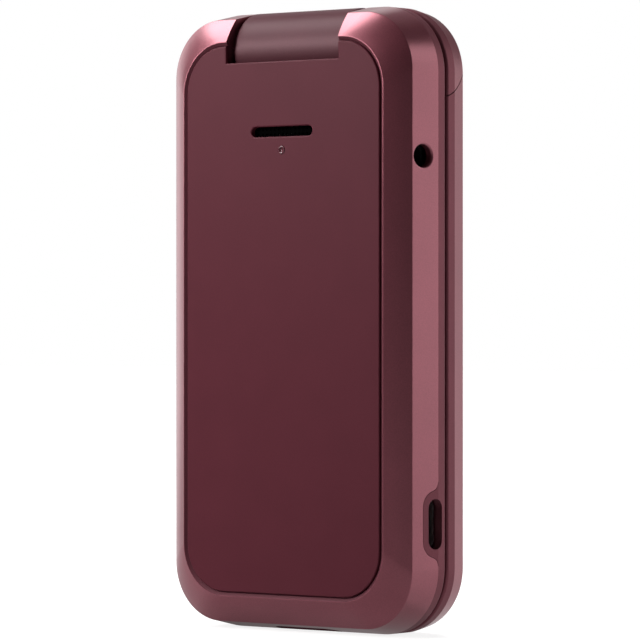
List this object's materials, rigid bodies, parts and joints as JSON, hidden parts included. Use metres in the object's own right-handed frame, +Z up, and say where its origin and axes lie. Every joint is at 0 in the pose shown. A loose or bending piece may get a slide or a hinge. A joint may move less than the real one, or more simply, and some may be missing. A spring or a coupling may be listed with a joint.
{
  "type": "flip phone",
  "caption": "Closed folding mobile phone with an inlaid back panel, a hinge barrel between two ears, side ports and an inner keypad and screen.",
  "frame": {"origin": "on the ground under the middle of the closed phone standing on its lower edge", "axes": "+X to the right seen from the back, +Y out of the lid's front, +Z up towards the hinge"},
  "size_m": [0.055, 0.0188, 0.108],
  "materials": {
    "satin_shell": "satin metallic paint",
    "back_panel": "satin",
    "frame_plastic": "satin",
    "dark_mesh": "woven",
    "tinted_glass": "polished",
    "clear_glass": "polished",
    "display_black": "polished",
    "steel": "brushed",
    "contact_gold": "plated",
    "inner_plastic": "moulded",
    "silicone": "matt",
    "board_green": "solder mask",
    "battery_wrap": "film",
    "flex_film": "polyimide film",
    "lens_black": "polished",
    "flash_lens": "clear moulded",
    "side_key_plastic": "satin",
    "key_plastic": "satin",
    "key_trim": "satin"
  },
  "bodies": {
    "base": {"keypad_frame": "frame_plastic", "hinge_caps": "satin_shell", "hinge_shaft": "steel", "hinge_bush": "inner_plastic", "side_key_flex": "flex_film", "key_mat": "silicone", "dome_sheet": "steel", "main_board": "board_green", "rear_chassis": "inner_plastic", "chassis_screws": "steel", "antenna": "contact_gold", "battery": "battery_wrap", "battery_contacts": "contact_gold", "sim_holders": "steel", "memory_card_holder": "steel", "loudspeaker": "inner_plastic", "vibration_motor": "steel", "usb_socket": "steel", "audio_socket": "inner_plastic", "microphone": "steel", "base_flex": "flex_film"},
    "cover": {"back_cover": "satin_shell", "rear_panel": "back_panel", "speaker_mesh": "dark_mesh"},
    "lid": {"lid_frame": "frame_plastic", "hinge_can": "steel", "lid_cover": "satin_shell", "outer_window": "tinted_glass", "outer_display": "display_black", "inner_window": "clear_glass", "inner_display": "display_black", "camera_module": "lens_black", "flash_led": "flash_lens", "earpiece": "inner_plastic", "lid_magnet": "steel", "lid_board": "board_green", "lid_bumpers": "silicone", "lid_screws": "steel", "lid_flex": "flex_film"},
    "nav_tilt": {"nav_pivot": "steel"},
    "nav": {"nav_ring": "key_trim"},
    "select": {"select_key": "key_plastic"},
    "volume": {"volume_key": "side_key_plastic"},
    "emergency": {"emergency_key": "side_key_plastic"},
    "key_1_body": {"key_1": "key_plastic"},
    "key_2_body": {"key_2": "key_plastic"},
    "key_3_body": {"key_3": "key_plastic"},
    "key_4_body": {"key_4": "key_plastic"},
    "key_5_body": {"key_5": "key_plastic"},
    "key_6_body": {"key_6": "key_plastic"},
    "key_7_body": {"key_7": "key_plastic"},
    "key_8_body": {"key_8": "key_plastic"},
    "key_9_body": {"key_9": "key_plastic"},
    "key_star_body": {"key_star": "key_plastic"},
    "key_0_body": {"key_0": "key_plastic"},
    "key_hash_body": {"key_hash": "key_plastic"},
    "soft_key_left_body": {"soft_key_left": "key_plastic"},
    "soft_key_right_body": {"soft_key_right": "key_plastic"},
    "call_key_body": {"call_key": "key_plastic"},
    "end_key_body": {"end_key": "key_plastic"}
  },
  "joints": [
    {"name": "lid_hinge", "type": "hinge", "parent": "base", "child": "lid", "pos_m": [0, -0.0009, 0.1008], "axis": [1, 0, 0], "range_deg": [0, 140]},
    {"name": "cover_lift", "type": "slide", "parent": "base", "child": "cover", "axis": [0, -1, 0], "range_m": [0, 0.025]},
    {"name": "nav_left_right", "type": "hinge", "parent": "base", "child": "nav_tilt", "pos_m": [0, -0.00056, 0.06475], "axis": [0, 0, 1], "range_deg": [-1.5, 1.5], "stiffness_Nm_per_rad": 0.02},
    {"name": "nav_up_down", "type": "hinge", "parent": "nav_tilt", "child": "nav", "pos_m": [0, -0.00056, 0.06475], "axis": [1, 0, 0], "range_deg": [-1.5, 1.5], "stiffness_Nm_per_rad": 0.02},
    {"name": "select_press", "type": "slide", "parent": "base", "child": "select", "axis": [0, -1, 0], "range_m": [0, 0.0003], "stiffness_N_per_m": 300, "springref_m": -0.0005},
    {"name": "volume_rock", "type": "hinge", "parent": "base", "child": "volume", "pos_m": [-0.0258, -0.00235, 0.07], "axis": [0, 1, 0], "range_deg": [-2, 2], "stiffness_Nm_per_rad": 0.02},
    {"name": "emergency_press", "type": "slide", "parent": "base", "child": "emergency", "axis": [1, 0, 0], "range_m": [0, 0.0003], "stiffness_N_per_m": 300, "springref_m": -0.0005},
    {"name": "key_1_press", "type": "slide", "parent": "base", "child": "key_1_body", "axis": [0, -1, 0], "range_m": [0, 0.0003], "stiffness_N_per_m": 300, "springref_m": -0.0005},
    {"name": "key_2_press", "type": "slide", "parent": "base", "child": "key_2_body", "axis": [0, -1, 0], "range_m": [0, 0.0003], "stiffness_N_per_m": 300, "springref_m": -0.0005},
    {"name": "key_3_press", "type": "slide", "parent": "base", "child": "key_3_body", "axis": [0, -1, 0], "range_m": [0, 0.0003], "stiffness_N_per_m": 300, "springref_m": -0.0005},
    {"name": "key_4_press", "type": "slide", "parent": "base", "child": "key_4_body", "axis": [0, -1, 0], "range_m": [0, 0.0003], "stiffness_N_per_m": 300, "springref_m": -0.0005},
    {"name": "key_5_press", "type": "slide", "parent": "base", "child": "key_5_body", "axis": [0, -1, 0], "range_m": [0, 0.0003], "stiffness_N_per_m": 300, "springref_m": -0.0005},
    {"name": "key_6_press", "type": "slide", "parent": "base", "child": "key_6_body", "axis": [0, -1, 0], "range_m": [0, 0.0003], "stiffness_N_per_m": 300, "springref_m": -0.0005},
    {"name": "key_7_press", "type": "slide", "parent": "base", "child": "key_7_body", "axis": [0, -1, 0], "range_m": [0, 0.0003], "stiffness_N_per_m": 300, "springref_m": -0.0005},
    {"name": "key_8_press", "type": "slide", "parent": "base", "child": "key_8_body", "axis": [0, -1, 0], "range_m": [0, 0.0003], "stiffness_N_per_m": 300, "springref_m": -0.0005},
    {"name": "key_9_press", "type": "slide", "parent": "base", "child": "key_9_body", "axis": [0, -1, 0], "range_m": [0, 0.0003], "stiffness_N_per_m": 300, "springref_m": -0.0005},
    {"name": "key_star_press", "type": "slide", "parent": "base", "child": "key_star_body", "axis": [0, -1, 0], "range_m": [0, 0.0003], "stiffness_N_per_m": 300, "springref_m": -0.0005},
    {"name": "key_0_press", "type": "slide", "parent": "base", "child": "key_0_body", "axis": [0, -1, 0], "range_m": [0, 0.0003], "stiffness_N_per_m": 300, "springref_m": -0.0005},
    {"name": "key_hash_press", "type": "slide", "parent": "base", "child": "key_hash_body", "axis": [0, -1, 0], "range_m": [0, 0.0003], "stiffness_N_per_m": 300, "springref_m": -0.0005},
    {"name": "soft_key_left_press", "type": "slide", "parent": "base", "child": "soft_key_left_body", "axis": [0, -1, 0], "range_m": [0, 0.0003], "stiffness_N_per_m": 300, "springref_m": -0.0005},
    {"name": "soft_key_right_press", "type": "slide", "parent": "base", "child": "soft_key_right_body", "axis": [0, -1, 0], "range_m": [0, 0.0003], "stiffness_N_per_m": 300, "springref_m": -0.0005},
    {"name": "call_key_press", "type": "slide", "parent": "base", "child": "call_key_body", "axis": [0, -1, 0], "range_m": [0, 0.0003], "stiffness_N_per_m": 300, "springref_m": -0.0005},
    {"name": "end_key_press", "type": "slide", "parent": "base", "child": "end_key_body", "axis": [0, -1, 0], "range_m": [0, 0.0003], "stiffness_N_per_m": 300, "springref_m": -0.0005}
  ]
}
